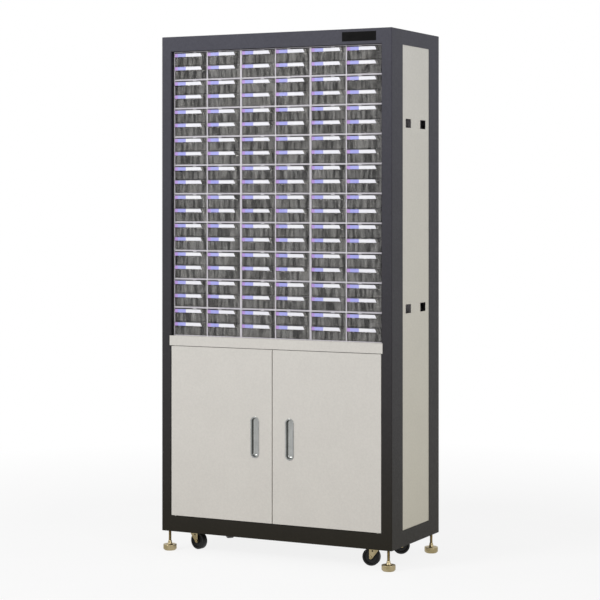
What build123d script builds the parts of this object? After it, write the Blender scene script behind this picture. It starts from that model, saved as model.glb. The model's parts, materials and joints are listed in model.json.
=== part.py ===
from build123d import *
from math import cos, radians, sin
import os

# Parts bin cabinet: a floor-standing steel cabinet with banks of small plastic drawers over a
# two-door cupboard, standing on four levelling feet with four swivel casters beside them.
# Millimetres. X runs to the right, Y to the back and Z up. The origin is on the floor, under
# the middle of the casing.

# ---- casing ----
cabinet_width = 880.0
cabinet_depth = 405.0
casing_height = 1725.0
ground_gap = 70.0  # floor to the underside of the casing
sheet = 1.5
post_width = 36.5  # front face of a corner post
post_side = 90.0  # side face of a corner post
post_lip = 12.0
top_rail = 51.0
bottom_rail = 54.0
rail_lip = 30.0
edge_radius = 4.0  # outside radius of the folded corners
top_edge_radius = 2.0  # around the top of the cover

panel_sheet = 1.2
panel_lap = 12.0
panel_clearance = 0.5
slot_width = 46.0
slot_height = 30.0
slot_spacing = 124.0
slot_heights = (861.0, 1483.0)  # slot centres above the floor

# ---- plate on the top rail ----
badge_width = 124.0
badge_height = 31.0
badge_sheet = 1.0
badge_from_middle = 321.0

# ---- deck under the drawer modules ----
deck_height = 753.0  # top face of the deck
deck_strip = 34.0
deck_lap = 3.5  # how far the strip laps over each post
deck_proud = 2.0
deck_return = 44.0

# ---- drawer modules ----
columns = 6
rows = 20
module_columns = 2
module_rows = 2
module_side_gap = 3.45  # corner post to the modules' own space
module_top_gap = 1.0  # under the top cover
module_gap = 0.4
module_recess = 16.0  # casing front to module front
module_wall = 3.4
module_divider = 3.8
module_skin = 2.4
module_shelf = 1.0
shelf_setback = 8.0
module_back = 2.0
tab_from_middle = 50.0
tab_width = 13.0
tab_drop = 2.0
tab_depth = 2.5
tab_clearance = 0.4

# ---- drawers ----
drawer_side_clearance = 0.6
drawer_floor_clearance = 0.3
drawer_top_clearance = 0.5  # under the shelf between two drawers
drawer_back_clearance = 1.0
drawer_wall = 1.6
drawer_setback = 1.0
holder_height = 14.0
holder_proud = 4.0
holder_short = 8.0  # holder end to the right edge of the drawer
holder_slant = 6.0
card_inset = 1.2
card_short = 9.0  # card end to the holder's end
card_thickness = 0.6
single_drawers = {
    "upper_left_drawer": (1, 15),
    "upper_right_drawer": (4, 17),
    "lower_left_drawer": (2, 5),
    "lower_right_drawer": (5, 8),
}  # column and row of each drawer with its own node, counted from the lower left

# ---- cupboard ----
door_side_gap = 2.5
door_end_gap = 2.0
door_middle_gap = 3.0
door_setback = 0.5
door_depth = 18.0
door_sheet = 1.2
door_edge = 1.0
door_split = -4.5  # where the doors meet, from the middle of the casing
shelf_height = 421.0  # top face of the shelf rails
shelf_sheet = 1.5
shelf_front_gap = 37.5
shelf_lip = 20.0
shelf_rail_width = 30.0
shelf_rail_height = 30.0
shelf_rail_gap = 1.5  # behind the shelf's front lip
shelf_rail_back_gap = 10.0

# ---- door handles ----
handle_width = 33.0
handle_height = 142.0
handle_proud = 2.0
handle_edge = 1.2
handle_from_split = 66.5
handle_centre_height = 416.0
cup_width = 27.0
cup_depth = 14.0
cup_wall = 1.6
cup_round = 8.0  # inside the back of the cup
cup_clearance = 0.3

# ---- door hinge pins and catches ----
pin_radius = 3.0
pin_clearance = 0.05
pin_from_edge = 14.0
pin_from_face = 7.0
pin_reach = 14.0
pin_head_radius = 5.0
pin_head = 2.5
collar_clearance = 0.2
catch_width = 40.0
catch_depth = 20.0
catch_height = 12.0
catch_from_split = 40.0
catch_clearance = 0.3

# ---- levelling feet ----
foot_inset = 21.0
foot_radius = 23.5
foot_sole_radius = 19.0
foot_height = 21.0
foot_rim = 12.0
foot_top_radius = 14.0
foot_step = 2.0  # the dome starts this far in from the rim and this far below it
foot_collar_radius = 10.5
foot_collar = 13.0
foot_collar_edge = 1.0
stem_radius = 5.0
stem_height = 104.0
stem_clearance = 0.3
nut_radius = 9.8
nut_height = 8.0
thread_clearance = 0.05

# ---- casters ----
caster_inset_x = 84.0
caster_inset_y = 80.0
caster_rest_angles = {
    "front_left": -12.0,
    "front_right": 190.0,
    "rear_left": -43.0,
    "rear_right": 214.0,
}  # direction from the swivel to the wheel, in degrees from +X
wheel_radius = 30.0
wheel_width = 22.0
wheel_round = 3.0
hub_radius = 9.0
hub_proud = 1.0
wheel_lift = 1.5  # the wheels clear the floor when the feet carry the cabinet
caster_height = 82.5
caster_trail = 24.0
caster_plate_x = 72.0
caster_plate_y = 68.0
caster_plate_sheet = 2.0
swivel_gap = 0.5
fork_sheet = 2.0
fork_gap = 0.5
crown_front = 20.0  # crown reach ahead of the swivel
crown_back = 29.0  # crown reach over the wheel
leg_foot_radius = 7.0
kingpin_radius = 5.0
kingpin_head_radius = 8.0
kingpin_head = 2.5
axle_radius = 3.0
axle_clearance = 0.05
axle_head_radius = 5.0
axle_head = 2.5
channel_width = 80.0
bolt_spacing_x = 56.0
bolt_spacing_y = 52.0
bolt_radius = 3.0
bolt_clearance = 0.2
bolt_head_radius = 5.0
bolt_head = 3.0
bolt_end = 3.0

# ---- screws of the back panel ----
screw_radius = 2.0
screw_clearance = 0.1
screw_head_radius = 4.0
screw_head = 1.8
screw_length = 8.0
screws_high = 5

# ---- worked out from the sizes above ----
half_width = cabinet_width / 2
half_depth = cabinet_depth / 2
casing_top = ground_gap + casing_height
rail_top = ground_gap + bottom_rail
rail_under = casing_top - top_rail
opening_half = half_width - post_width
inner_half = half_width - sheet
inner_depth = half_depth - sheet
panel_face = inner_half - panel_sheet
back_face = inner_depth - panel_sheet
pan_top = rail_top - sheet
pan_under = pan_top - panel_sheet
corner_clear = edge_radius - sheet + panel_clearance

deck_top = deck_height
strip_under = deck_height - deck_strip
deck_front = -half_depth - deck_proud

modules_across = columns // module_columns
modules_high = rows // module_rows
module_pitch_x = 2 * (opening_half - module_side_gap) / modules_across
module_pitch_z = (rail_under - module_top_gap - deck_top) / modules_high
module_width = module_pitch_x - module_gap
module_height = module_pitch_z - module_gap
module_front = -half_depth + module_recess
module_depth = back_face - panel_clearance - module_front
pocket_width = (module_width - 2 * module_wall - module_divider) / module_columns
pocket_pitch = pocket_width + module_divider
inside_height = module_height - 2 * module_skin
shelf_step = (inside_height - tab_drop - tab_clearance + module_shelf) / module_rows
pocket_depth = module_depth - module_back

drawer_width = pocket_width - 2 * drawer_side_clearance
drawer_height = shelf_step - module_shelf - drawer_floor_clearance - drawer_top_clearance
drawer_depth = pocket_depth - drawer_setback - drawer_back_clearance
drawer_front = module_front + drawer_setback

door_outer = opening_half - door_side_gap
door_low = rail_top + door_end_gap
door_high = strip_under - door_end_gap
door_front = -half_depth + door_setback
door_rear = door_front + door_depth
hinge_x = door_outer - pin_from_edge
hinge_y = door_front + pin_from_face

foot_x = half_width - foot_inset
foot_y = half_depth - foot_inset
caster_x = half_width - caster_inset_x
caster_y = half_depth - caster_inset_y
plate_top = wheel_lift + caster_height
plate_under = plate_top - caster_plate_sheet
crown_top = plate_under - swivel_gap
crown_under = crown_top - fork_sheet
wheel_centre = wheel_lift + wheel_radius
leg_inner = wheel_width / 2 + hub_proud + fork_gap
leg_outer = leg_inner + fork_sheet

corners = {
    "front_left": (-1, -1),
    "front_right": (1, -1),
    "rear_left": (-1, 1),
    "rear_right": (1, 1),
}
sides = {"left": -1, "right": 1}
low = (Align.CENTER, Align.CENTER, Align.MIN)
front_low = (Align.CENTER, Align.MIN, Align.MIN)

os.makedirs("parts", exist_ok=True)


def save(piece, name):
    """Label a finished piece and write it as parts/name.step."""
    piece.part.label = name
    export_step(piece.part, f"parts/{name}.step")


def block(x_range, y_range, z_range, mode=Mode.ADD):
    """Add or cut a box between two values on each axis."""
    spans = [sorted(span) for span in (x_range, y_range, z_range)]
    with Locations(tuple((a + b) / 2 for a, b in spans)):
        Box(*(b - a for a, b in spans), mode=mode)


def upright(x, y, z_range, radius, mode=Mode.ADD):
    """Add or cut a vertical cylinder between two heights."""
    with Locations((x, y, z_range[0])):
        Cylinder(radius, z_range[1] - z_range[0], align=low, mode=mode)


# ======================= casing =======================


def corner_post(side, end, lip):
    """Stand one folded corner post between the base frame and the top cover."""
    inner_x = side * opening_half
    outer_x = side * half_width
    outer_y = end * half_depth
    inner_y = end * (half_depth - post_side)
    height = (rail_top, rail_under)
    block((inner_x, outer_x), (outer_y - end * sheet, outer_y), height)
    block((outer_x - side * sheet, outer_x), (inner_y, outer_y), height)
    if lip:
        block((inner_x, inner_x + side * sheet), (outer_y - end * post_lip, outer_y), height)


def edges_over(part, x, y):
    """Vertical edges of a part that stand over the four points at plus or minus x and y."""
    upright_edges = part.edges().filter_by(Axis.Z)
    centres = [(edge, edge.center()) for edge in upright_edges]
    return [edge for edge, c in centres if abs(abs(c.X) - x) < 0.01 and abs(abs(c.Y) - y) < 0.01]


def round_folds(part):
    """Round the casing's folded corners, outside and inside."""
    fillet(edges_over(part, half_width, half_depth), edge_radius)
    fillet(edges_over(part, inner_half, inner_depth), edge_radius - sheet)


with BuildPart() as front_posts:
    for side in sides.values():
        corner_post(side, -1, lip=True)
    round_folds(front_posts)
save(front_posts, "front_posts")

screw_x = half_width - post_width / 2
screw_span = rail_under - rail_top
screw_heights = [rail_top + screw_span * (i + 0.5) / screws_high for i in range(screws_high)]
screw_spots = [(side * screw_x, half_depth, z) for side in sides.values() for z in screw_heights]

with BuildPart() as rear_posts:
    for side in sides.values():
        corner_post(side, 1, lip=False)
    round_folds(rear_posts)
    with Locations(*[Location(spot, (90, 0, 0)) for spot in screw_spots]):
        Cylinder(screw_radius + screw_clearance, 2 * screw_length, mode=Mode.SUBTRACT)
save(rear_posts, "rear_posts")


def ring(z_low, z_high, closed_top):
    """Make a folded rectangular ring with inward lips, or a cap if its top is closed."""
    block((-half_width, half_width), (-half_depth, half_depth), (z_low, z_high))
    block(
        (-inner_half, inner_half),
        (-inner_depth, inner_depth),
        (z_low + sheet, z_high - sheet),
        Mode.SUBTRACT,
    )
    block(
        (-half_width + rail_lip, half_width - rail_lip),
        (-half_depth + rail_lip, half_depth - rail_lip),
        (z_low, z_low + sheet if closed_top else z_high),
        Mode.SUBTRACT,
    )


with BuildPart() as top_cover:
    ring(rail_under, casing_top, closed_top=True)
    round_folds(top_cover)
    fillet(top_cover.faces().sort_by(Axis.Z)[-1].edges(), top_edge_radius)
save(top_cover, "top_cover")

hinge_spots = [(side * hinge_x, hinge_y) for side in sides.values()]
foot_spots = [(x * foot_x, y * foot_y) for x, y in corners.values()]

with BuildPart() as base_frame:
    ring(ground_gap, rail_top, closed_top=False)
    round_folds(base_frame)
    for x, y in foot_spots:
        upright(x, y, (ground_gap, ground_gap + sheet), stem_radius + stem_clearance, Mode.SUBTRACT)
    for x, y in hinge_spots:
        upright(x, y, (pan_top, rail_top), pin_radius + pin_clearance, Mode.SUBTRACT)
save(base_frame, "base_frame")

with BuildPart() as floor_pan:
    block(
        (-inner_half + corner_clear, inner_half - corner_clear),
        (-inner_depth + corner_clear, inner_depth - corner_clear),
        (pan_under, pan_top),
    )
    for x, y in hinge_spots:
        upright(x, y, (pan_under, pan_top), pin_radius + pin_clearance, Mode.SUBTRACT)
save(floor_pan, "floor_pan")

bolt_spots = [
    (x * caster_x + dx * bolt_spacing_x / 2, y * caster_y + dy * bolt_spacing_y / 2)
    for x, y in corners.values()
    for dx in (-1, 1)
    for dy in (-1, 1)
]

with BuildPart() as caster_channels:
    for side in sides.values():
        inner_x = side * (caster_x - channel_width / 2)
        outer_x = side * (caster_x + channel_width / 2)
        run = (-inner_depth + panel_clearance, inner_depth - panel_clearance)
        block((inner_x, outer_x), run, (plate_top, plate_top + sheet))
        block((inner_x, inner_x + side * sheet), run, (plate_top, pan_under))
        block((outer_x - side * sheet, outer_x), run, (plate_top, pan_under))
    for x, y in bolt_spots:
        upright(x, y, (plate_top, plate_top + sheet), bolt_radius + bolt_clearance, Mode.SUBTRACT)
save(caster_channels, "caster_channels")

for name, side in sides.items():
    with BuildPart() as side_panel:
        half_run = half_depth - post_side + panel_lap
        block((side * panel_face, side * inner_half), (-half_run, half_run), (rail_top, rail_under))
        for z in slot_heights:
            for y in (-slot_spacing / 2, slot_spacing / 2):
                block(
                    (side * (panel_face - panel_sheet), side * (inner_half + panel_sheet)),
                    (y - slot_width / 2, y + slot_width / 2),
                    (z - slot_height / 2, z + slot_height / 2),
                    Mode.SUBTRACT,
                )
    save(side_panel, f"{name}_side_panel")

with BuildPart() as back_panel:
    block(
        (-inner_half + corner_clear, inner_half - corner_clear),
        (back_face, inner_depth),
        (rail_top, rail_under),
    )
    with Locations(*[Location(spot, (90, 0, 0)) for spot in screw_spots]):
        Cylinder(screw_radius + screw_clearance, 2 * screw_length, mode=Mode.SUBTRACT)
save(back_panel, "back_panel")

with BuildPart() as back_screws:
    for x, y, z in screw_spots:
        with BuildSketch(Plane((x, y, z), x_dir=(1, 0, 0), z_dir=(0, 1, 0))):
            Circle(screw_head_radius)
        extrude(amount=screw_head)
        with BuildSketch(Plane((x, y, z), x_dir=(1, 0, 0), z_dir=(0, 1, 0))):
            Circle(screw_radius)
        extrude(amount=-screw_length)
save(back_screws, "back_screws")

with BuildPart() as badge_plate:
    badge_middle = rail_under + top_rail / 2
    block(
        (badge_from_middle - badge_width / 2, badge_from_middle + badge_width / 2),
        (-half_depth - badge_sheet, -half_depth),
        (badge_middle - badge_height / 2, badge_middle + badge_height / 2),
    )
save(badge_plate, "badge_plate")

# ======================= deck and drawer modules =======================

with BuildPart() as bin_deck:
    strip_half = opening_half + deck_lap
    block((-opening_half, opening_half), (deck_front, back_face), (deck_top - sheet, deck_top))
    block((-strip_half, strip_half), (deck_front, deck_front + sheet), (strip_under, deck_top))
    block(
        (-opening_half, opening_half),
        (deck_front, deck_front + deck_return),
        (strip_under, strip_under + sheet),
    )
    for x, y in hinge_spots:
        hole_height = (strip_under, strip_under + sheet)
        upright(x, y, hole_height, pin_radius + pin_clearance, Mode.SUBTRACT)
save(bin_deck, "bin_deck")


def module_centre_x(number):
    """Centre of a module column, counted from the left."""
    return (number - (modules_across - 1) / 2) * module_pitch_x


def pocket_centre_x(column):
    """Centre of a drawer column, counted from the left."""
    number, place = divmod(column, module_columns)
    return module_centre_x(number) + (place - (module_columns - 1) / 2) * pocket_pitch


def pocket_floor(row):
    """Height of the floor under a drawer row, counted from the bottom."""
    number, place = divmod(row, module_rows)
    return deck_top + number * module_pitch_z + module_skin + place * shelf_step


with BuildPart() as module_shell:
    with Locations((0, module_front, 0)):
        Box(module_width, module_depth, module_height, align=front_low)
    places = [place - (module_columns - 1) / 2 for place in range(module_columns)]
    pocket_middles = [place * pocket_pitch for place in places]
    with Locations(*[(x, module_front, module_skin) for x in pocket_middles]):
        Box(pocket_width, pocket_depth, inside_height, align=front_low, mode=Mode.SUBTRACT)
    shelf_heights = [module_skin + step * shelf_step - module_shelf for step in range(1, module_rows)]
    shelf_front = module_front + shelf_setback
    with Locations(*[(x, shelf_front, z) for x in pocket_middles for z in shelf_heights]):
        Box(pocket_width, pocket_depth - shelf_setback, module_shelf, align=front_low)
    tab_low = module_height - module_skin - tab_drop
    with Locations(*[(side * tab_from_middle, module_front, tab_low) for side in sides.values()]):
        Box(tab_width, tab_depth, tab_drop, align=front_low)

module_spots = [
    (module_centre_x(across), 0, deck_top + high * module_pitch_z)
    for across in range(modules_across)
    for high in range(modules_high)
]

with BuildPart() as bin_modules:
    with Locations(*module_spots):
        add(module_shell.part)
save(bin_modules, "bin_modules")


def strip_outline(inset, short):
    """Outline of a strip with a slanted right end along the top of a drawer front."""
    left = -drawer_width / 2 + inset
    right = drawer_width / 2 - holder_short - short
    low_edge = drawer_height - holder_height + inset
    high_edge = drawer_height - inset
    high_right = right - holder_slant
    Polygon((left, low_edge), (right, low_edge), (high_right, high_edge), (left, high_edge), align=None)


holder_front = drawer_front - holder_proud
card_back = holder_front + card_thickness

with BuildPart() as tray:
    with Locations((0, drawer_front, 0)):
        Box(drawer_width, drawer_depth, drawer_height, align=front_low)
    with Locations((0, drawer_front + drawer_wall, drawer_wall)):
        Box(
            drawer_width - 2 * drawer_wall,
            drawer_depth - 2 * drawer_wall,
            drawer_height,
            align=front_low,
            mode=Mode.SUBTRACT,
        )
    with BuildSketch(Plane.XZ.offset(-drawer_front)):
        strip_outline(0, 0)
    extrude(amount=holder_proud)
    with BuildSketch(Plane.XZ.offset(-card_back)):
        strip_outline(card_inset, card_short)
    extrude(amount=card_thickness, mode=Mode.SUBTRACT)

with BuildPart() as card:
    with BuildSketch(Plane.XZ.offset(-card_back)):
        strip_outline(card_inset, card_short)
    extrude(amount=card_thickness)


def drawer_spot(column, row):
    """Place of a drawer's middle on the floor of its pocket."""
    return (pocket_centre_x(column), 0, pocket_floor(row) + drawer_floor_clearance)


for column in range(columns):
    spots = [
        drawer_spot(column, row)
        for row in range(rows)
        if (column, row) not in single_drawers.values()
    ]
    with BuildPart() as column_drawers:
        with Locations(*spots):
            add(tray.part)
    save(column_drawers, f"column_{column + 1}_drawers")
    with BuildPart() as column_labels:
        with Locations(*spots):
            add(card.part)
    save(column_labels, f"column_{column + 1}_labels")

for name, (column, row) in single_drawers.items():
    with BuildPart() as single_drawer:
        with Locations(drawer_spot(column, row)):
            add(tray.part)
    save(single_drawer, name)
    with BuildPart() as single_label:
        with Locations(drawer_spot(column, row)):
            add(card.part)
    save(single_label, f"{name}_label")

# ======================= cupboard =======================

shelf_edge = -half_depth + shelf_front_gap
shelf_top = shelf_height + shelf_sheet

with BuildPart() as shelf_rails:
    for side in sides.values():
        outer_x = side * panel_face
        run = (shelf_edge + shelf_sheet + shelf_rail_gap, back_face - shelf_rail_back_gap)
        block((outer_x - side * sheet, outer_x), run, (shelf_height - shelf_rail_height, shelf_height))
        block(
            (outer_x - side * shelf_rail_width, outer_x),
            run,
            (shelf_height - sheet, shelf_height),
        )
save(shelf_rails, "shelf_rails")

with BuildPart() as cupboard_shelf:
    shelf_half = panel_face - panel_clearance
    block(
        (-shelf_half, shelf_half),
        (shelf_edge, back_face - panel_clearance),
        (shelf_height, shelf_top),
    )
    block(
        (-shelf_half, shelf_half),
        (shelf_edge, shelf_edge + shelf_sheet),
        (shelf_top - shelf_lip, shelf_top),
    )
save(cupboard_shelf, "cupboard_shelf")


def handle_plane(side, y):
    """Upright plane at a handle's centre, facing the front."""
    centre = (door_split + side * handle_from_split, y, handle_centre_height)
    return Plane(centre, x_dir=(1, 0, 0), z_dir=(0, -1, 0))


cup_height = handle_height - handle_width + cup_width

for name, side in sides.items():
    door_inner = door_split + side * door_middle_gap / 2
    with BuildPart() as door:
        block((door_inner, side * door_outer), (door_front, door_rear), (door_low, door_high))
        fillet(door.faces().sort_by(Axis.Y)[0].edges(), door_edge)
        block(
            (door_inner + side * door_sheet, side * (door_outer - door_sheet)),
            (door_front + door_sheet, door_rear),
            (door_low + door_sheet, door_high - door_sheet),
            Mode.SUBTRACT,
        )
        with BuildSketch(handle_plane(side, door_front + door_sheet)):
            SlotOverall(cup_height + 2 * cup_clearance, cup_width + 2 * cup_clearance, rotation=90)
        extrude(amount=door_sheet, mode=Mode.SUBTRACT)
        for z in (door_low, door_high - door_sheet):
            hole_height = (z, z + door_sheet)
            upright(side * hinge_x, hinge_y, hole_height, pin_radius + pin_clearance, Mode.SUBTRACT)
    save(door, f"{name}_door")

    with BuildPart() as finger_space:
        with BuildSketch(handle_plane(side, door_front - handle_proud)):
            SlotOverall(cup_height - 2 * cup_wall, cup_width - 2 * cup_wall, rotation=90)
        extrude(amount=-(handle_proud + cup_depth - cup_wall))
        fillet(finger_space.faces().sort_by(Axis.Y)[-1].edges(), cup_round)

    with BuildPart() as handle:
        with BuildSketch(handle_plane(side, door_front)):
            SlotOverall(cup_height, cup_width, rotation=90)
        extrude(amount=-cup_depth)
        fillet(handle.faces().sort_by(Axis.Y)[-1].edges(), cup_round + cup_wall)
        with BuildSketch(handle_plane(side, door_front)):
            SlotOverall(handle_height, handle_width, rotation=90)
        extrude(amount=handle_proud)
        fillet(handle.faces().sort_by(Axis.Y)[0].edges(), handle_edge)
        add(finger_space.part, mode=Mode.SUBTRACT)
    save(handle, f"{name}_door_handle")

with BuildPart() as hinge_pins:
    for x, y in hinge_spots:
        lip_top = strip_under + sheet
        upright(x, y, (lip_top, lip_top + pin_head), pin_head_radius)
        upright(x, y, (door_high - pin_reach, lip_top), pin_radius)
        upright(x, y, (pan_under - pin_head, pan_under), pin_head_radius)
        upright(x, y, (pan_under, door_low + pin_reach), pin_radius)
        upright(x, y, (rail_top, door_low - collar_clearance), pin_head_radius)
save(hinge_pins, "hinge_pins")

with BuildPart() as door_catches:
    for side in sides.values():
        catch_front = door_rear + catch_clearance
        block(
            (
                door_split + side * (catch_from_split - catch_width / 2),
                door_split + side * (catch_from_split + catch_width / 2),
            ),
            (catch_front, catch_front + catch_depth),
            (strip_under - catch_height, strip_under),
        )
save(door_catches, "door_catches")

# ======================= levelling feet =======================

for name, (x, y) in corners.items():
    with BuildPart(Plane((x * foot_x, y * foot_y, 0))) as foot:
        with BuildSketch(Plane((x * foot_x, y * foot_y, 0), x_dir=(1, 0, 0), z_dir=(0, -1, 0))):
            with BuildLine():
                Polyline(
                    (0, 0),
                    (foot_sole_radius, 0),
                    (foot_radius, foot_height - foot_rim),
                    (foot_radius, foot_height),
                    (foot_radius - foot_step, foot_height),
                    (foot_top_radius, foot_height - foot_step),
                    (foot_collar_radius, foot_height + foot_step),
                    (stem_radius + foot_collar_edge, foot_height + foot_collar),
                    (stem_radius, foot_height + foot_collar),
                    (stem_radius, stem_height),
                    (0, stem_height),
                    close=True,
                )
            make_face()
        revolve(axis=Axis((x * foot_x, y * foot_y, 0), (0, 0, 1)))
    save(foot, f"{name}_foot")

with BuildPart() as foot_nuts:
    nut_low = ground_gap + sheet
    with BuildSketch(Plane.XY.offset(nut_low)):
        with Locations(*foot_spots):
            RegularPolygon(nut_radius, 6)
            Circle(stem_radius + thread_clearance, mode=Mode.SUBTRACT)
    extrude(amount=nut_height)
save(foot_nuts, "foot_nuts")

# ======================= casters =======================

with BuildPart() as caster_plates:
    for x, y in corners.values():
        centre = (x * caster_x, y * caster_y)
        with Locations((*centre, plate_under)):
            Box(caster_plate_x, caster_plate_y, caster_plate_sheet, align=low)
        head_top = crown_under - swivel_gap
        upright(*centre, (head_top, plate_under), kingpin_radius)
        upright(*centre, (head_top - kingpin_head, head_top), kingpin_head_radius)
    for x, y in bolt_spots:
        upright(x, y, (plate_under, plate_top), bolt_radius + bolt_clearance, Mode.SUBTRACT)
save(caster_plates, "caster_plates")

with BuildPart() as caster_bolts:
    for x, y in bolt_spots:
        upright(x, y, (plate_under - bolt_head, plate_under), bolt_head_radius)
        upright(x, y, (plate_under, plate_top + sheet + bolt_end), bolt_radius)
save(caster_bolts, "caster_bolts")

for name, (x, y) in corners.items():
    angle = radians(caster_rest_angles[name])
    trail_way = (cos(angle), sin(angle), 0)
    axle_way = (sin(angle), -cos(angle), 0)
    swivel = Vector(x * caster_x, y * caster_y, 0)
    wheel_plane = Plane(swivel, x_dir=trail_way, z_dir=axle_way)
    crown_plane = Plane(swivel + Vector(0, 0, crown_under), x_dir=trail_way, z_dir=(0, 0, 1))

    with BuildPart() as fork:
        with BuildSketch(crown_plane):
            with Locations(((crown_back - crown_front) / 2, 0)):
                Rectangle(crown_back + crown_front, 2 * leg_outer)
            Circle(kingpin_radius + axle_clearance, mode=Mode.SUBTRACT)
        extrude(amount=fork_sheet)
        for hand in (-1, 1):
            with BuildSketch(wheel_plane.offset(hand * (leg_inner + leg_outer) / 2)):
                with Locations(((crown_back - crown_front) / 2, crown_top - fork_sheet)):
                    Rectangle(crown_back + crown_front, 2 * fork_sheet)
                with Locations((caster_trail, wheel_centre)):
                    Circle(leg_foot_radius)
                make_hull()
                with Locations((caster_trail, wheel_centre)):
                    Circle(axle_radius + axle_clearance, mode=Mode.SUBTRACT)
            extrude(amount=fork_sheet / 2, both=True)
    save(fork, f"{name}_caster_fork")

    with BuildPart() as wheel:
        with BuildSketch(wheel_plane):
            with Locations((caster_trail, wheel_centre)):
                Circle(wheel_radius)
        extrude(amount=wheel_width / 2, both=True)
        fillet(wheel.edges(), wheel_round)
        with BuildSketch(wheel_plane):
            with Locations((caster_trail, wheel_centre)):
                Circle(hub_radius)
        extrude(amount=wheel_width / 2 + hub_proud, both=True)
        with BuildSketch(wheel_plane):
            with Locations((caster_trail, wheel_centre)):
                Circle(axle_radius + axle_clearance)
        extrude(amount=wheel_width, both=True, mode=Mode.SUBTRACT)
    save(wheel, f"{name}_caster_wheel")

    with BuildPart() as axle:
        with BuildSketch(wheel_plane):
            with Locations((caster_trail, wheel_centre)):
                Circle(axle_radius)
        extrude(amount=leg_outer, both=True)
        for hand in (-1, 1):
            with BuildSketch(wheel_plane.offset(hand * (leg_outer + axle_head / 2))):
                with Locations((caster_trail, wheel_centre)):
                    Circle(axle_head_radius)
            extrude(amount=axle_head / 2, both=True)
    save(axle, f"{name}_caster_axle")
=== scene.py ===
import json
import math

import bmesh
import bpy
from mathutils import Matrix, Vector


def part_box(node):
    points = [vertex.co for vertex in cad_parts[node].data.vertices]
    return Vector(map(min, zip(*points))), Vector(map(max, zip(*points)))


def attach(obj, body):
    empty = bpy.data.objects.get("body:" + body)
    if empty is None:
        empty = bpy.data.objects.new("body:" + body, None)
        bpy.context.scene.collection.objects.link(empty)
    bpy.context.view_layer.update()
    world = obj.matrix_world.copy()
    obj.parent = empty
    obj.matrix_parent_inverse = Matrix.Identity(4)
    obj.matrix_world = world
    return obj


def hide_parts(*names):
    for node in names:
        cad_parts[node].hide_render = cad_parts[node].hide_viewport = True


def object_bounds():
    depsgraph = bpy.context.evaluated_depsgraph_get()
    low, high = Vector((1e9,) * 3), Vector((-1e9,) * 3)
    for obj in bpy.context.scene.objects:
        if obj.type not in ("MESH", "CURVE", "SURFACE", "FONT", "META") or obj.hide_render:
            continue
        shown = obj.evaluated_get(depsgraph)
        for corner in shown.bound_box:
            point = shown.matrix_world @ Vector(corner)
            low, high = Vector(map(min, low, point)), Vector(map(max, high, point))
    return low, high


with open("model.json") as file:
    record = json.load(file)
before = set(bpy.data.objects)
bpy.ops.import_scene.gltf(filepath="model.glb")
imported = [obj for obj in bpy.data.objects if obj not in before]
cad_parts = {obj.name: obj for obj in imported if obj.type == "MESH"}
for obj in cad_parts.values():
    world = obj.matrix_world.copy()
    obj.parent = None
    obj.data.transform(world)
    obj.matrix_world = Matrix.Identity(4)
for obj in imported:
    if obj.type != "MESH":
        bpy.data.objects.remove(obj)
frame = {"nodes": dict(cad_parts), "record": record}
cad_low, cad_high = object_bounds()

nodes = frame["nodes"]
joints = {joint["name"]: joint for joint in frame["record"]["behaviour"]["joints"]}
TOP = cad_high.z
CENTRE = (cad_low + cad_high) / 2
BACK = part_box("rear_posts")[1].y
CORNERS = ("front_left", "front_right", "rear_left", "rear_right")
SINGLE_DRAWERS = ("upper_left_drawer", "upper_right_drawer", "lower_left_drawer", "lower_right_drawer")
COLUMNS = 6

# ======================= camera =======================

VIEW_TURN = math.radians(26.78)  # how far round to the right the cabinet is seen from
VIEW_PLACE = (2.9548, -5.8553, 1.2292)
LENS = 112.72
HORIZON_SHIFT = -0.1683  # the horizon lies above the middle of the picture


def make_camera():
    """A level camera at the photograph's viewing angle."""
    data = bpy.data.cameras.new("camera")
    data.lens = LENS
    data.sensor_width = 36
    data.shift_y = HORIZON_SHIFT
    camera = bpy.data.objects.new("camera", data)
    camera.location = VIEW_PLACE
    camera.rotation_euler = (math.pi / 2, 0, VIEW_TURN)
    bpy.context.scene.collection.objects.link(camera)
    bpy.context.scene.camera = camera


# ======================= node trees =======================


def srgb(red, green, blue):
    """A linear colour with alpha from 0 to 255 display values."""
    def linear(value):
        share = value / 255
        return share / 12.92 if share <= 0.04045 else ((share + 0.055) / 1.055) ** 2.4

    return (linear(red), linear(green), linear(blue), 1.0)


def add(tree, kind, inputs=None, **settings):
    """Add a node, set its properties, and set or link its inputs."""
    made = tree.nodes.new("ShaderNode" + kind)
    for key, value in settings.items():
        setattr(made, key, value)
    for key, value in (inputs or {}).items():
        if isinstance(value, bpy.types.NodeSocket):
            tree.links.new(value, made.inputs[key])
        else:
            made.inputs[key].default_value = value
    return made


def new_tree(name):
    """A new material and its node tree, with an empty output."""
    material = bpy.data.materials.new(name)
    material.use_nodes = True
    tree = material.node_tree
    tree.nodes.clear()
    return material, tree, tree.nodes.new("ShaderNodeOutputMaterial")


def place(tree):
    """Coordinates in metres that move with the piece."""
    return tree.nodes.new("ShaderNodeTexCoord").outputs["Object"]


def noise(tree, scale, detail=3.0, stretch=None):
    """Seeded noise in the piece's own space."""
    where = place(tree)
    if stretch:
        where = add(tree, "Mapping", {"Vector": where, "Scale": stretch}).outputs["Vector"]
    made = add(tree, "TexNoise", {"Vector": where, "Scale": scale, "Detail": detail})
    return made.outputs["Fac"]


def spread(tree, value, low, high, start=0.3, end=0.7):
    """Map a value from one range to another, held at its ends."""
    inputs = {"Value": value, "From Min": start, "From Max": end, "To Min": low, "To Max": high}
    return add(tree, "MapRange", inputs).outputs["Result"]


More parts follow.
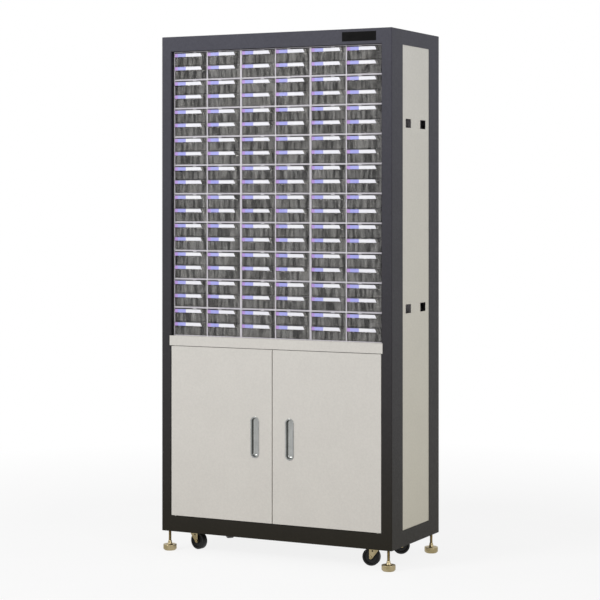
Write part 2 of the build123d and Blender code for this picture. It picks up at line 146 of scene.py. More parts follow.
def mix(tree, share, first, second, blend="MIX"):
    """Mix two colours."""
    made = add(tree, "Mix", data_type="RGBA", blend_type=blend)
    for socket, value in zip((made.inputs[0], made.inputs[6], made.inputs[7]), (share, first, second)):
        if isinstance(value, bpy.types.NodeSocket):
            tree.links.new(value, socket)
        else:
            socket.default_value = value
    return made.outputs[2]


def height(tree):
    """Share of the way up the cabinet."""
    split = add(tree, "SeparateXYZ", {"Vector": place(tree)})
    return spread(tree, split.outputs["Z"], 0.0, 1.0, 0.0, TOP)


def bump(tree, value, strength, distance):
    """A bump normal from a height value."""
    inputs = {"Height": value, "Strength": strength, "Distance": distance}
    return add(tree, "Bump", inputs).outputs["Normal"]


def principled(tree, out, inputs):
    """A principled shader joined to the output."""
    shader = add(tree, "BsdfPrincipled", inputs)
    tree.links.new(shader.outputs["BSDF"], out.inputs["Surface"])
    return shader


# ======================= materials =======================

FLOW_STREAKS = (95.0, 20.0, 14.0)  # noise waves in a metre along each axis
CLEAR_MOST = 1.0  # shares of light that the clearest and the haziest streaks let through
CLEAR_LEAST = 0.81
STREAK_START = 0.38  # noise levels between which a streak turns hazy
STREAK_END = 0.66


def powder_coat(name, upper, lower, mottle, roughness, shine):
    """Fine textured baked paint, with painted shade: darker and warmer near the floor, lighter and cooler
    high up.
    """
    material, tree, out = new_tree(name)
    # Painted shade: the colour runs from the darker, warmer lower colour at the floor to the upper colour at
    # the top.
    paint_with_painted_shade = mix(tree, height(tree), lower, upper)
    fine = noise(tree, 150.0, 2.0)
    cloud = noise(tree, 9.0, 3.0)
    shade = spread(tree, fine, 1.0 - mottle, 1.0 + mottle)
    drift = spread(tree, cloud, 1.0 - mottle * 0.5, 1.0 + mottle * 0.5)
    both = add(tree, "Math", {0: shade, 1: drift}, operation="MULTIPLY").outputs[0]
    grey = add(tree, "CombineColor", {"Red": both, "Green": both, "Blue": both}).outputs["Color"]
    colour = mix(tree, 1.0, paint_with_painted_shade, grey, "MULTIPLY")
    principled(tree, out, {
        "Base Color": colour,
        "Roughness": spread(tree, noise(tree, 160.0), roughness - 0.05, roughness + 0.06),
        "Specular IOR Level": shine,
        "Normal": bump(tree, noise(tree, 1100.0, 2.0), 0.3, 0.0003),
    })
    return material


def plated_steel(name, colour, tint, roughness):
    """Zinc-plated steel with faint passivation clouds."""
    material, tree, out = new_tree(name)
    clouds = spread(tree, noise(tree, 45.0, 4.0), 0.0, 1.0)
    principled(tree, out, {
        "Base Color": mix(tree, clouds, colour, tint),
        "Metallic": 1.0,
        "Roughness": spread(tree, noise(tree, 260.0), roughness - 0.08, roughness + 0.1),
        "Normal": bump(tree, noise(tree, 900.0), 0.15, 0.0002),
    })
    return material


def chrome():
    """Chrome plate, slightly clouded."""
    material, tree, out = new_tree("chrome")
    patches = spread(tree, noise(tree, 30.0), 0.0, 1.0)
    principled(tree, out, {
        "Base Color": mix(tree, patches, srgb(150, 152, 150), srgb(170, 171, 169)),
        "Metallic": 1.0,
        "Roughness": spread(tree, noise(tree, 120.0), 0.12, 0.2),
        "Normal": bump(tree, noise(tree, 220.0, 2.0), 0.08, 0.0003),
    })
    return material


def moulded(name, colour, other, roughness, shine=0.4):
    """Opaque moulded plastic."""
    material, tree, out = new_tree(name)
    principled(tree, out, {
        "Base Color": mix(tree, spread(tree, noise(tree, 24.0), 0.0, 1.0), colour, other),
        "Roughness": spread(tree, noise(tree, 90.0), roughness - 0.04, roughness + 0.06),
        "Specular IOR Level": shine,
        "Normal": bump(tree, noise(tree, 600.0), 0.08, 0.0001),
    })
    return material


def clear_plastic():
    """Clear, slightly smoky polystyrene with upright flow streaks."""
    material, tree, out = new_tree("clear_plastic")
    streaks = noise(tree, 1.0, 3.0, FLOW_STREAKS)
    clearness = spread(tree, streaks, CLEAR_MOST, CLEAR_LEAST, STREAK_START, STREAK_END)
    cloud = spread(tree, noise(tree, 18.0), 0.0, 1.0)
    principled(tree, out, {
        "Base Color": mix(tree, cloud, srgb(210, 208, 204), srgb(224, 223, 221)),
        "Transmission Weight": clearness,
        "IOR": 1.45,
        "Roughness": spread(tree, noise(tree, 60.0), 0.05, 0.12),
        "Normal": bump(tree, noise(tree, 35.0, 2.0), 0.06, 0.0006),
    })
    return material


END_BLOCK = 0.10  # shares of a card's width
WIDE_BLOCK = 0.40
BLOCK_EDGE = 0.012


def label_card():
    """A plain card with two blocks of colour at its left end, under a clear strip."""
    material, tree, out = new_tree("label_card")
    generated = tree.nodes.new("ShaderNodeTexCoord").outputs["Generated"]
    across = add(tree, "SeparateXYZ", {"Vector": generated}).outputs["X"]
    patch = spread(tree, noise(tree, 16.0), 0.0, 1.0)
    violet = mix(tree, patch, srgb(168, 130, 204), srgb(180, 146, 214))
    blue = mix(tree, patch, srgb(150, 152, 224), srgb(166, 168, 230))
    paper = mix(tree, patch, srgb(228, 228, 236), srgb(234, 234, 238))
    blocks = mix(tree, spread(tree, across, 0.0, 1.0, END_BLOCK, END_BLOCK + BLOCK_EDGE), violet, blue)
    colour = mix(tree, spread(tree, across, 0.0, 1.0, WIDE_BLOCK, WIDE_BLOCK + BLOCK_EDGE), blocks, paper)
    principled(tree, out, {
        "Base Color": colour,
        "Roughness": spread(tree, noise(tree, 80.0), 0.4, 0.55),
        "Coat Weight": 0.6,
        "Coat Roughness": 0.08,
        "Normal": bump(tree, noise(tree, 500.0), 0.05, 0.0001),
    })
    return material


def rubber(name, colour, other):
    """Black wheel rubber."""
    material, tree, out = new_tree(name)
    principled(tree, out, {
        "Base Color": mix(tree, spread(tree, noise(tree, 60.0, 5.0), 0.0, 1.0), colour, other),
        "Roughness": spread(tree, noise(tree, 140.0), 0.38, 0.56),
        "Specular IOR Level": 0.3,
        "Normal": bump(tree, noise(tree, 700.0), 0.2, 0.0003),
    })
    return material


# ======================= stage =======================

FLOOR_HALF = 30.0
FADE_START = 1.2  # distances from the middle between which the floor fades to white
FADE_END = 3.0
FLOOR_GLOW = 0.85  # share of white in the floor near the cabinet
WORLD_LEVEL = 0.4


def seen_rays(tree):
    """1 for rays that the eye follows straight, by reflection or through glass."""
    path = tree.nodes.new("ShaderNodeLightPath").outputs
    seen = path["Is Camera Ray"]
    for name in ("Is Glossy Ray", "Is Transmission Ray"):
        seen = add(tree, "Math", {0: seen, 1: path[name]}, operation="MAXIMUM").outputs[0]
    return seen


def make_stage():
    """Pale floor that keeps the shadow, and a white world behind it."""
    mesh = bpy.data.meshes.new("floor")
    corners = [(x * FLOOR_HALF, y * FLOOR_HALF, 0) for x, y in ((-1, -1), (1, -1), (1, 1), (-1, 1))]
    mesh.from_pydata(corners, [], [(0, 1, 2, 3)])
    floor = bpy.data.objects.new("floor", mesh)
    bpy.context.scene.collection.objects.link(floor)

    material, tree, out = new_tree("floor_white")
    grain = mix(tree, spread(tree, noise(tree, 3.0), 0.0, 1.0), srgb(232, 232, 232), srgb(238, 238, 238))
    matt = add(tree, "BsdfDiffuse", {"Color": grain}).outputs[0]
    white = add(tree, "Emission", {"Color": (1, 1, 1, 1), "Strength": 1.0}).outputs[0]
    where = add(tree, "SeparateXYZ", {"Vector": place(tree)})
    flat = add(tree, "CombineXYZ", {"X": where.outputs["X"], "Y": where.outputs["Y"]}).outputs[0]
    away = add(tree, "VectorMath", {0: flat}, operation="LENGTH").outputs["Value"]
    share = spread(tree, away, FLOOR_GLOW, 1.0, FADE_START, FADE_END)
    seen = add(tree, "MixShader", {0: share, 1: matt, 2: white}).outputs[0]
    lit = add(tree, "MixShader", {0: seen_rays(tree), 1: matt, 2: seen}).outputs[0]
    tree.links.new(lit, out.inputs["Surface"])
    mesh.materials.append(material)

    world = bpy.data.worlds.new("studio")
    bpy.context.scene.world = world
    world.use_nodes = True
    tree = world.node_tree
    tree.nodes.clear()
    strength = spread(tree, seen_rays(tree), WORLD_LEVEL, 1.0, 0.0, 1.0)
    background = add(tree, "Background", {"Color": (1, 1, 1, 1), "Strength": strength})
    out = tree.nodes.new("ShaderNodeOutputWorld")
    tree.links.new(background.outputs[0], out.inputs["Surface"])


# ======================= light =======================

LAMPS = {
    "key": ((-2.6, -5.2, 3.6), 2.6, 205.0, (1.0, 1.0, 1.0)),
    "fill": ((5.0, -2.4, 2.6), 2.4, 75.0, (1.0, 0.99, 0.96)),
}  # place, width, power and colour


def make_lamps():
    """Large soft lamps that face the middle of the cabinet."""
    for name, (where, width, power, colour) in LAMPS.items():
        data = bpy.data.lights.new(name, "AREA")
        data.shape = "DISK"
        data.size = width
        data.energy = power
        data.color = colour
        lamp = bpy.data.objects.new(name, data)
        lamp.location = where
        lamp.rotation_euler = (CENTRE - Vector(where)).to_track_quat("-Z", "Y").to_euler()
        bpy.context.scene.collection.objects.link(lamp)


# ======================= finishes =======================

# In each powder coat the second colour, used near the floor, is painted shade: darker and warmer than the
# first.
FINISHES = {
    "casing": powder_coat("casing_coat", srgb(68, 68, 77), srgb(28, 24, 12), 0.08, 0.5, 0.14),
    "panel": powder_coat("panel_coat", srgb(206, 204, 200), srgb(203, 199, 192), 0.03, 0.5, 0.3),
    "side": powder_coat("side_coat", srgb(222, 220, 214), srgb(208, 203, 186), 0.03, 0.5, 0.3),
    "zinc": plated_steel("bright_zinc", srgb(190, 188, 180), srgb(170, 166, 150), 0.32),
    "yellow_zinc": plated_steel("yellow_zinc", srgb(176, 162, 130), srgb(150, 137, 102), 0.3),
    "chrome": chrome(),
    "badge": moulded("blank_plate", srgb(8, 8, 8), srgb(12, 11, 11), 0.5, 0.05),
    "shell": moulded("shell_plastic", srgb(206, 202, 208), srgb(198, 195, 202), 0.4),
    "clear": clear_plastic(),
    "card": label_card(),
    "magnet": moulded("magnet_case", srgb(34, 34, 34), srgb(44, 44, 44), 0.4),
    "wheel": rubber("wheel_rubber", srgb(12, 12, 12), srgb(18, 17, 17)),
}


def finish_of(name):
    """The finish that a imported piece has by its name."""
    if name in ("front_posts", "rear_posts", "top_cover", "base_frame"):
        return "casing"
    if name.endswith("side_panel"):
        return "side"
    if name in ("back_screws", "hinge_pins", "caster_channels"):
        return "zinc"
    if name.endswith("handle"):
        return "chrome"
    if name == "badge_plate":
        return "badge"
    if name == "bin_modules":
        return "shell"
    if name.endswith(("label", "labels")):
        return "card"
    if "drawer" in name:
        return "clear"
    if name == "door_catches":
        return "magnet"
    if name.endswith("wheel"):
        return "wheel"
    if name.endswith(("foot", "nuts", "plates", "bolts", "fork", "axle")):
        return "yellow_zinc"
    return "panel"


def dress_nodes():
    """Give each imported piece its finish."""
    for name, piece in nodes.items():
        piece.data.materials.clear()
        piece.data.materials.append(FINISHES[finish_of(name)])


# ======================= mesh tools =======================
# A form is a pair of lists, its points and its faces.

SHARP_ANGLE = math.radians(32)
MERGE = 1e-6


def joined(*forms):
    """Several forms as one."""
    points, faces = [], []
    for more_points, more_faces in forms:
        start = len(points)
        points += more_points
        faces += [tuple(start + corner for corner in face) for face in more_faces]
    return points, faces


def placed(form, where, turn=0.0):
    """A form turned about its own upright axis and then moved."""
    matrix = Matrix.Translation(where) @ Matrix.Rotation(turn, 4, "Z")
    return [tuple(matrix @ Vector(point)) for point in form[0]], form[1]


def aimed(form, where, way):
    """A form whose +Z is turned to point along way, and then moved."""
    matrix = Matrix.Translation(where) @ Vector(way).to_track_quat("Z", "Y").to_matrix().to_4x4()
    return [tuple(matrix @ Vector(point)) for point in form[0]], form[1]


def loft(rings):
    """A closed form over rings with the same number of points, each counter-clockwise from its end."""
    count = len(rings[0])
    points = [tuple(point) for ring in rings for point in ring]
    faces = [tuple(reversed(range(count)))]
    for level in range(len(rings) - 1):
        start = level * count
        for i in range(count):
            after = (i + 1) % count
            faces.append((start + i, start + after, start + count + after, start + count + i))
    faces.append(tuple(range(len(points) - count, len(points))))
    return points, faces


def circle(radius, z, sides):
    """Points of a level circle."""
    angles = [2 * math.pi * i / sides for i in range(sides)]
    return [(radius * math.cos(a), radius * math.sin(a), z) for a in angles]


def spun(profile, sides=48):
    """A form turned from a profile of radius and height, from its lowest point up."""
    return loft([circle(radius, z, sides) for radius, z in profile])


def arc(centre, radius, start, end, steps):
    """Points of a profile's round stretch, with its angles in degrees."""
    angles = [math.radians(start + (end - start) * i / steps) for i in range(steps + 1)]
    return [(centre[0] + radius * math.cos(a), centre[1] + radius * math.sin(a)) for a in angles]


def mesh_of(name, form):
    """A smooth-shaded mesh that keeps its sharp edges."""
    mesh = bpy.data.meshes.new(name)
    mesh.from_pydata(form[0], [], form[1])
    shape = bmesh.new()
    shape.from_mesh(mesh)
    bmesh.ops.remove_doubles(shape, verts=shape.verts, dist=MERGE)
    bmesh.ops.recalc_face_normals(shape, faces=shape.faces)
    shape.to_mesh(mesh)
    shape.free()
    mesh.shade_smooth()
    mesh.set_sharp_from_angle(angle=SHARP_ANGLE)
    return mesh


def put(name, form, body, finish, slot, *replaced):
    """Put a finished form in the scene, on its body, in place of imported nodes."""
    mesh = form if isinstance(form, bpy.types.Mesh) else mesh_of(name, form)
    mesh.materials.clear()
    mesh.materials.append(FINISHES[finish])
    piece = bpy.data.objects.new(name, mesh)
    bpy.context.scene.collection.objects.link(piece)
    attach(piece, body)
    if replaced:
        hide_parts(*replaced)
    return piece


def carved(name, form, cutters, operation="DIFFERENCE"):
    """The mesh of a form cut by others, or kept only where it meets them."""
    work = bpy.data.objects.new(name, mesh_of(name, form))
    bpy.context.scene.collection.objects.link(work)
    helpers = []
    for i, cutter in enumerate(cutters):
        helper = bpy.data.objects.new(f"{name}_cutter_{i}", mesh_of(f"{name}_cutter_{i}", cutter))
        bpy.context.scene.collection.objects.link(helper)
        modifier = work.modifiers.new(f"cut_{i}", "BOOLEAN")
        modifier.operation = operation if i == 0 else "DIFFERENCE"
        modifier.solver = "EXACT"
        modifier.object = helper
        helpers.append(helper)
    bpy.context.view_layer.update()
    graph = bpy.context.evaluated_depsgraph_get()
    mesh = bpy.data.meshes.new_from_object(work.evaluated_get(graph))
    for extra in (work, *helpers):
        bpy.data.objects.remove(extra)
    mesh.shade_smooth()
    mesh.set_sharp_from_angle(angle=SHARP_ANGLE)
    return mesh


def form_of(mesh):
    """A mesh's points and faces as a form."""
    return [tuple(v.co) for v in mesh.vertices], [tuple(face.vertices) for face in mesh.polygons]


def solids_of(name):
    """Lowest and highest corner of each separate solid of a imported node."""
    shape = bmesh.new()
    shape.from_mesh(nodes[name].data)
    bmesh.ops.remove_doubles(shape, verts=shape.verts, dist=MERGE)
    left = set(shape.verts)
    boxes = []
    while left:
        reached = [left.pop()]
        corners = []
        while reached:
            vert = reached.pop()
            corners.append(vert.co.copy())
            for edge in vert.link_edges:
                other = edge.other_vert(vert)
                if other in left:
                    left.remove(other)
                    reached.append(other)
        low = Vector([min(corner[axis] for corner in corners) for axis in range(3)])
        high = Vector([max(corner[axis] for corner in corners) for axis in range(3)])
        boxes.append((low, high))
    shape.free()
    return sorted(boxes, key=lambda box: tuple(round(value, 4) for value in box[0]))


# ======================= drawers =======================

TRAY_CORNER = 0.003
TRAY_WALL = 0.0016
TRAY_DRAFT = 0.0005  # how much narrower a drawer's foot is, on each side
TRAY_ROUND = 0.0011
RIM_ROUND = 0.0003
CORNER_STEPS = 4
RIB_PITCH = 0.031  # from one divider slot to the next
RIB_GAP = 0.0022  # clear width of a divider slot
RIB_WIDTH = 0.0012
RIB_PROUD = 0.0013
RIB_BELOW_RIM = 0.007
RIB_FIRST = 0.031  # front of the drawer to its first divider slot
RIB_LAST = 0.016  # last divider slot to the back of the drawer
HOLDER_PROUD = 0.004
HOLDER_HEIGHT = 0.014
HOLDER_SHORT = 0.008
HOLDER_SLANT = 0.006
HOLDER_EDGE = 0.0004
CARD_INSET = 0.001
CARD_SHORT = 0.009
CARD_DEPTH = 0.0007
COVE_DROP = 0.0036  # how far the pull under the holder reaches down
COVE_STEPS = 4


def tray_ring(box, z, inset, proud):
    """Level outline of a drawer wall, with divider ribs that stand in from both its sides."""
    low, high = box
    radius = max(TRAY_CORNER - inset, TRAY_ROUND)
    slots = int((high.y - low.y - RIB_FIRST - RIB_LAST) / RIB_PITCH) + 1
    ribs = []
    for i in range(slots):
        middle = low.y + RIB_FIRST + i * RIB_PITCH
        for side in (-1, 1):
            near = middle + side * RIB_GAP / 2
            ribs.append(sorted((near, near + side * RIB_WIDTH)))
    ring = []
    for turn, (x, y) in enumerate(((1, -1), (1, 1), (-1, 1), (-1, -1))):
        centre_x = (high.x if x > 0 else low.x) - x * (inset + radius)
        centre_y = (high.y if y > 0 else low.y) - y * (inset + radius)
        start = 90 * turn - 90
        ring += [(*point, z) for point in arc((centre_x, centre_y), radius, start, start + 90, CORNER_STEPS)]
        if turn in (0, 2):
            wall = centre_x + x * radius
            for rib in ribs if turn == 0 else reversed(ribs):
                first, last = rib if turn == 0 else reversed(rib)
                ring += [(wall, first, z), (wall - x * proud, first, z)]
                ring += [(wall - x * proud, last, z), (wall, last, z)]
    return ring


def tray_form(low, high):
    """An open box with a rounded foot, a soft rim and ribs for loose dividers."""
    box = (low, high)
    rib_top = high.z - RIB_BELOW_RIM
    floor = low.z + TRAY_WALL
    inner_foot = TRAY_WALL + TRAY_DRAFT
    return loft([
        tray_ring(box, low.z, TRAY_DRAFT + TRAY_ROUND, 0),
        tray_ring(box, low.z + TRAY_ROUND, TRAY_DRAFT, 0),
        tray_ring(box, high.z - RIM_ROUND, 0, 0),
        tray_ring(box, high.z, RIM_ROUND, 0),
        tray_ring(box, high.z, TRAY_WALL - RIM_ROUND, 0),
        tray_ring(box, high.z - RIM_ROUND, TRAY_WALL, 0),
        tray_ring(box, rib_top, TRAY_WALL, 0),
        tray_ring(box, rib_top - RIB_PROUD, TRAY_WALL, RIB_PROUD),
        tray_ring(box, floor + TRAY_ROUND, inner_foot, RIB_PROUD),
        tray_ring(box, floor, inner_foot + TRAY_ROUND, RIB_PROUD),
    ])


def strip_ring(low, high, y, inset, short, drop=0.0):
    """Upright outline of the label holder's slanted strip, seen from the front."""
    left = low.x + inset
    right = high.x - HOLDER_SHORT - short
    bottom = high.z - HOLDER_HEIGHT + inset - drop
    top = high.z - inset
    return [(left, y, bottom), (right, y, bottom), (right - HOLDER_SLANT, y, top), (left, y, top)]


def holder_form(low, high):
    """The strip that holds a label card, over a coved pull."""
    face = low.y
    front = low.y + HOLDER_PROUD
    rings = [strip_ring(low, high, front + RIM_ROUND, RIM_ROUND, 0, COVE_DROP)]
    for i in range(COVE_STEPS + 1):
        angle = math.radians(90 * i / COVE_STEPS)
        y = front - (HOLDER_PROUD - HOLDER_EDGE) * math.sin(angle)
        rings.append(strip_ring(low, high, y, RIM_ROUND, 0, COVE_DROP * (1 - math.sin(angle)) ** 2))
    rings.append(strip_ring(low, high, face, HOLDER_EDGE, HOLDER_EDGE))
    rings.append(strip_ring(low, high, face, CARD_INSET, CARD_SHORT))
    rings.append(strip_ring(low, high, face + CARD_DEPTH, CARD_INSET, CARD_SHORT))
    return loft(rings)


def drawer_form(low, high):
    """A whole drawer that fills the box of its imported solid."""
    tray_low = Vector((low.x, low.y + HOLDER_PROUD, low.z))
    return joined(tray_form(tray_low, high), holder_form(low, high))


def make_drawers():
    """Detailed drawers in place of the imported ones."""
    for number in range(1, COLUMNS + 1):
        node = f"column_{number}_drawers"
        forms = [drawer_form(low, high) for low, high in solids_of(node)]
        put(f"column_{number}_trays", joined(*forms), f"column_{number}", "clear", "tray", node)
    for name in SINGLE_DRAWERS:
        put(f"{name}_tray", drawer_form(*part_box(name)), name, "clear", "tray", name)


# ======================= levelling feet =======================

STEM_RADIUS = 0.005
THREAD_ROOT = 0.0042
THREAD_PITCH = 0.0015
THREAD_SIDES = 24
COLLAR_HEIGHT = 0.034  # where the thread comes out of the foot
COLLAR_RADIUS = 0.006
FOOT_REACH = 0.0235  # widest radius of the dome
SOLE_ROUND = 0.003
SOLE_ROUND_HEIGHT = 0.0062
ROLLED_EDGE = 0.0016  # around the top of the dome
ROLLED_EDGE_HEIGHT = 0.0194
NECK_COVE = 0.007  # between the dome and its collar
NECK_COVE_REACH = 0.0145


def thread_form(low, high):
    """A screw thread's two flanks, wound round its root."""
    steps = int((high - low) / THREAD_PITCH * THREAD_SIDES)
    points = []
    for radius, lift in ((STEM_RADIUS, 0.0), (THREAD_ROOT, THREAD_PITCH / 2)):
        for i in range(steps + 1):
            angle = 2 * math.pi * i / THREAD_SIDES
            z = low + THREAD_PITCH * i / THREAD_SIDES + lift
            points.append((radius * math.cos(angle), radius * math.sin(angle), z))
    root = steps + 1
    faces = [(i, i + 1, root + i + 1, root + i) for i in range(steps)]
    faces += [
        (root + i, root + i + 1, i + 1 + THREAD_SIDES, i + THREAD_SIDES)
        for i in range(steps - THREAD_SIDES)
    ]
    return points, faces


def foot_form(stem_top):
    """A pressed dome on a round sole, under a threaded stem."""
    dome = [(0.0175, 0.0), (0.019, 0.0002)]
    dome += arc((FOOT_REACH - SOLE_ROUND, SOLE_ROUND_HEIGHT), SOLE_ROUND, -28, 0, 3)
    dome += [(FOOT_REACH, 0.0095)]
    dome += arc((FOOT_REACH - ROLLED_EDGE, ROLLED_EDGE_HEIGHT), ROLLED_EDGE, 0, 90, 5)
    dome += [(0.0195, 0.0207), (0.0168, 0.0196), (NECK_COVE_REACH, 0.0191)]
    dome += arc((NECK_COVE_REACH, 0.0261), NECK_COVE, -100, -160, 6)
    dome += [(0.0071, 0.0275), (0.0063, 0.0315), (COLLAR_RADIUS, COLLAR_HEIGHT - 0.0006)]
    dome += [(0.0055, COLLAR_HEIGHT), (THREAD_ROOT, COLLAR_HEIGHT), (THREAD_ROOT, stem_top)]
    return joined(spun(dome), thread_form(COLLAR_HEIGHT - THREAD_PITCH, stem_top - THREAD_PITCH))


def make_feet():
    """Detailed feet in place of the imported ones."""
    for corner in CORNERS:
        node = f"{corner}_foot"
        low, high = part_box(node)
        where = ((low.x + high.x) / 2, (low.y + high.y) / 2, 0)
        form = placed(foot_form(high.z - low.z), where)
        put(f"{corner}_levelling_foot", form, node, "yellow_zinc", "plated", node)


# ======================= casters =======================

FORK_SHEET = 0.002
FORK_BEND = 0.0035
CROWN_FRONT = 0.020
CROWN_BACK = 0.029
TRAIL = 0.024
LEG_FOOT_RADIUS = 0.007
LEG_OUTER = 0.0145
LIGHTENING_HOLE = 0.0028
HOLE_BACK = 0.0065  # from the axle towards the swivel
HOLE_UP = 0.021  # from the axle up the leg
KINGPIN_HOLE = 0.0052
WHEEL_RADIUS = 0.030
WHEEL_HALF = 0.011
HUB_RADIUS = 0.009
HUB_HALF = 0.012
WEB_HALF = 0.006
AXLE_RADIUS = 0.003
AXLE_BORE = 0.0032
AXLE_HEAD_RADIUS = 0.005
AXLE_HEAD = 0.0025
HUB_ROUND = 0.0006
WEB_REACH = 0.0205  # radius of the flat web, inside the rim
WEB_ROUND = 0.001
TYRE_ROUND = 0.0032
TYRE_CROWN = 0.0004
LEG_STEPS = 14
HEX_SIDES = 6
HEX_STEPS = 4  # points along each flat of a hexagon


def hexagon(radius, z, most=1.0):
    """Points round a hexagon, drawn in to a circle of radius times most."""
    ring = []
    for side in range(HEX_SIDES):
        start, end = (Vector(circle(radius, z, HEX_SIDES)[(side + i) % HEX_SIDES]) for i in (0, 1))
        for step in range(HEX_STEPS):
            point = start.lerp(end, step / HEX_STEPS)
            flat = Vector((point.x, point.y))
            flat *= min(1.0, radius * most / flat.length)
            ring.append((flat.x, flat.y, z))
    return ring


def hex_head(radius, thick):
    """A hexagon head that stands up from the ground, with its corners turned down."""
    edge = thick * 0.25
    return loft([hexagon(radius, 0.0), hexagon(radius, thick - edge), hexagon(radius, thick, 0.86)])


def leg_outline(axle_height, crown_top):
    """Side outline of a fork leg: tangents from the crown's ends to the round at the axle."""
    top_front = Vector((-CROWN_FRONT, crown_top - 2 * FORK_SHEET))
    top_back = Vector((CROWN_BACK, crown_top - 2 * FORK_SHEET))
    axle = Vector((TRAIL, axle_height))

    def tangent(corner, side):
        """Angle of the point where a line from the corner touches the round."""
        way = corner - axle
        return math.atan2(way.y, way.x) + side * math.acos(LEG_FOOT_RADIUS / way.length)

    first = tangent(top_front, 1)
    last = tangent(top_back, -1) + 2 * math.pi
    angles = [first + (last - first) * i / LEG_STEPS for i in range(LEG_STEPS + 1)]
    round_foot = [axle + LEG_FOOT_RADIUS * Vector((math.cos(a), math.sin(a))) for a in angles]
    top = [Vector((CROWN_BACK, crown_top + FORK_SHEET)), Vector((-CROWN_FRONT, crown_top + FORK_SHEET))]
    return [top_front, *round_foot, top_back, *top]


def across(outline, reach):
    """A form with a side outline, reaching as far on both hands."""
    return loft([[(x, side * reach, z) for x, z in outline] for side in (1, -1)])


def fork_form(axle_height, crown_top):
    """A folded sheet fork, in its swivel's own frame, with the wheel towards +X."""
    low = axle_height - 2 * LEG_FOOT_RADIUS
    inner = LEG_OUTER - FORK_SHEET
    outer_bend = arc((LEG_OUTER - FORK_BEND, crown_top - FORK_BEND), FORK_BEND, 0, 90, 6)
    inner_bend = arc((LEG_OUTER - FORK_BEND, crown_top - FORK_BEND), FORK_BEND - FORK_SHEET, 0, 90, 6)
    right = [(LEG_OUTER, low), *outer_bend]
    left = [(-y, z) for y, z in reversed(right)]
    inner_left = [(-y, z) for y, z in [(inner, low), *inner_bend]]
    inner_right = [*reversed(inner_bend), (inner, low)]
    section = right + left + inner_left + inner_right
    channel = loft([[(x, y, z) for y, z in section] for x in (-CROWN_FRONT, CROWN_BACK)])
    side = across(leg_outline(axle_height, crown_top), LEG_OUTER + FORK_SHEET)
    tall = 4 * LEG_OUTER
    bore = aimed(spun([(AXLE_BORE, -tall / 2), (AXLE_BORE, tall / 2)]), (TRAIL, 0, axle_height), (0, 1, 0))
    spot = (TRAIL - HOLE_BACK, 0, axle_height + HOLE_UP)
    hole = aimed(spun([(LIGHTENING_HOLE, -tall / 2), (LIGHTENING_HOLE, tall / 2)]), spot, (0, 1, 0))
    swivel = spun([(KINGPIN_HOLE, crown_top - 2 * FORK_SHEET), (KINGPIN_HOLE, crown_top + FORK_SHEET)])
    return form_of(carved("fork", channel, [side, bore, hole, swivel], "INTERSECT"))


def wheel_form():
    """A rubber tyre on a recessed web and hub, about its own upright axle."""
    half = [
        (HUB_RADIUS - HUB_ROUND, HUB_HALF),
        (HUB_RADIUS, HUB_HALF - HUB_ROUND),
        (HUB_RADIUS + 0.0008, WEB_HALF + WEB_ROUND),
        (HUB_RADIUS + 0.002, WEB_HALF),
        (WEB_REACH, WEB_HALF),
        (0.0218, WEB_HALF + WEB_ROUND),
        (0.0224, WHEEL_HALF - 0.0008),
        (0.0232, WHEEL_HALF),
        *arc((WHEEL_RADIUS - TYRE_ROUND, WHEEL_HALF - TYRE_ROUND), TYRE_ROUND, 90, 12, 6),
        (WHEEL_RADIUS, TYRE_CROWN),
    ]
    upper = [(AXLE_BORE, HUB_HALF), *half]
    lower = [(radius, -z) for radius, z in upper]
    rings = [circle(radius, z, 72) for radius, z in lower + upper[::-1]]
    points, faces = loft(rings)
    count = len(rings[0])
    last = len(points) - count
    tube = [(last + i, last + (i + 1) % count, (i + 1) % count, i) for i in range(count)]
    return points, faces[1:-1] + tube


def axle_form(half, stick_out):
    """An axle bolt with a hexagon head and a domed end, about its own upright axis."""
    shank = spun([(AXLE_RADIUS, -half), (AXLE_RADIUS, half + 0.0002)])
    head = placed(hex_head(AXLE_HEAD_RADIUS, stick_out), (0, 0, half))
    dome = [(0.0022, -half - stick_out), (0.0042, -half - stick_out * 0.7), (0.0049, -half - stick_out * 0.2)]
    end = spun([*dome, (AXLE_HEAD_RADIUS, -half)])
    return joined(shank, head, end)


def make_casters():
    """Detailed forks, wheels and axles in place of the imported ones."""
    template = None
    for corner in CORNERS:
        fork, wheel, axle = (f"{corner}_caster_{part}" for part in ("fork", "wheel", "axle"))
        swivel = joints[f"{corner}_caster_swivel"]["pos_m"]
        spin = joints[f"{corner}_wheel_spin"]
        hub = Vector(spin["pos_m"])
        way = Vector(spin["axis"])
        turn = math.atan2(hub.y - swivel[1], hub.x - swivel[0])
        if template is None:
            template = fork_form(hub.z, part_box(fork)[1].z)
        where = (swivel[0], swivel[1], 0)
        put(f"{corner}_fork", placed(template, where, turn), fork, "yellow_zinc", "plated", fork)
        put(f"{corner}_wheel", aimed(wheel_form(), hub, way), wheel, "wheel", "wheel", wheel)
        bolt = aimed(axle_form(LEG_OUTER, AXLE_HEAD), hub, way)
        put(f"{corner}_axle_bolt", bolt, fork, "yellow_zinc", "plated", axle)


# ======================= screws and bolts =======================

RECESS_REACH = 0.0021
RECESS_WIDTH = 0.00045
RECESS_TAPER = 0.6
RECESS_DEPTH = 0.0011
BOLT_RADIUS = 0.003
PLATE_SHEET = 0.002


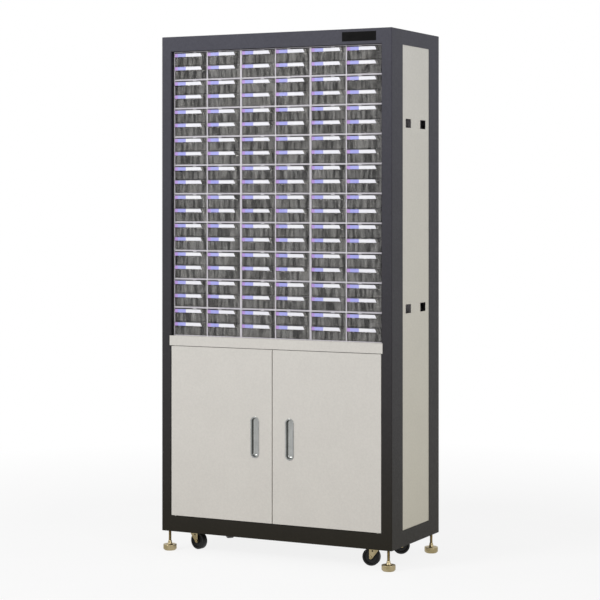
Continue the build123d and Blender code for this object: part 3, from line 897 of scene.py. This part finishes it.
def cross_bar(x, y, top):
    """A tapered bar that cuts one slot of a cross recess."""
    def rectangle(share, z):
        """Level corners at a share of the full slot."""
        signs = ((-1, -1), (1, -1), (1, 1), (-1, 1))
        return [(x * share * side, y * share * end, z) for side, end in signs]

    return loft([rectangle(RECESS_TAPER, top - RECESS_DEPTH), rectangle(1, top + RECESS_DEPTH)])


def make_back_screws():
    """Pan-head screws with cross recesses, in the back of the cabinet."""
    boxes = solids_of("back_screws")
    low, high = boxes[0]
    radius = (high.x - low.x) / 2
    head = high.y - BACK
    dome = [(radius, 0.0), (radius, head * 0.35), (radius * 0.93, head * 0.72)]
    dome += [(radius * 0.75, head * 0.93), (radius * 0.45, head)]
    slots = [cross_bar(RECESS_REACH, RECESS_WIDTH, head), cross_bar(RECESS_WIDTH, RECESS_REACH, head)]
    shank_radius = radius / 2
    tip = (shank_radius * 0.4, -(BACK - low.y))
    shank = spun([tip, (shank_radius, tip[1] + shank_radius), (shank_radius, 0.0001)], 16)
    screw = joined(form_of(carved("screw_head", spun(dome, 32), slots)), shank)
    forms = []
    for low, high in boxes:
        where = ((low.x + high.x) / 2, BACK, (low.z + high.z) / 2)
        forms.append(aimed(screw, where, (0, 1, 0)))
    put("back_panel_screws", joined(*forms), "casing", "zinc", "steel", "back_screws")


def make_caster_bolts():
    """Hexagon bolts that hold the caster plates."""
    forms = []
    for low, high in solids_of("caster_bolts"):
        radius = (high.x - low.x) / 2
        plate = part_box("caster_plates")[1].z - PLATE_SHEET
        head = aimed(hex_head(radius, plate - low.z), (0, 0, plate - low.z), (0, 0, -1))
        long = high.z - low.z
        shank = spun([(BOLT_RADIUS, 0.0005), (BOLT_RADIUS, long - 0.0008), (0.0022, long)], 20)
        where = ((low.x + high.x) / 2, (low.y + high.y) / 2, low.z)
        forms.append(placed(joined(head, shank), where))
    put("caster_plate_bolts", joined(*forms), "casing", "yellow_zinc", "plated", "caster_bolts")


# ======================= build =======================

scene = bpy.context.scene
scene.view_settings.view_transform = "Standard"
make_camera()
make_lamps()
make_stage()
dress_nodes()
make_drawers()
make_feet()
make_casters()
make_back_screws()
make_caster_bolts()
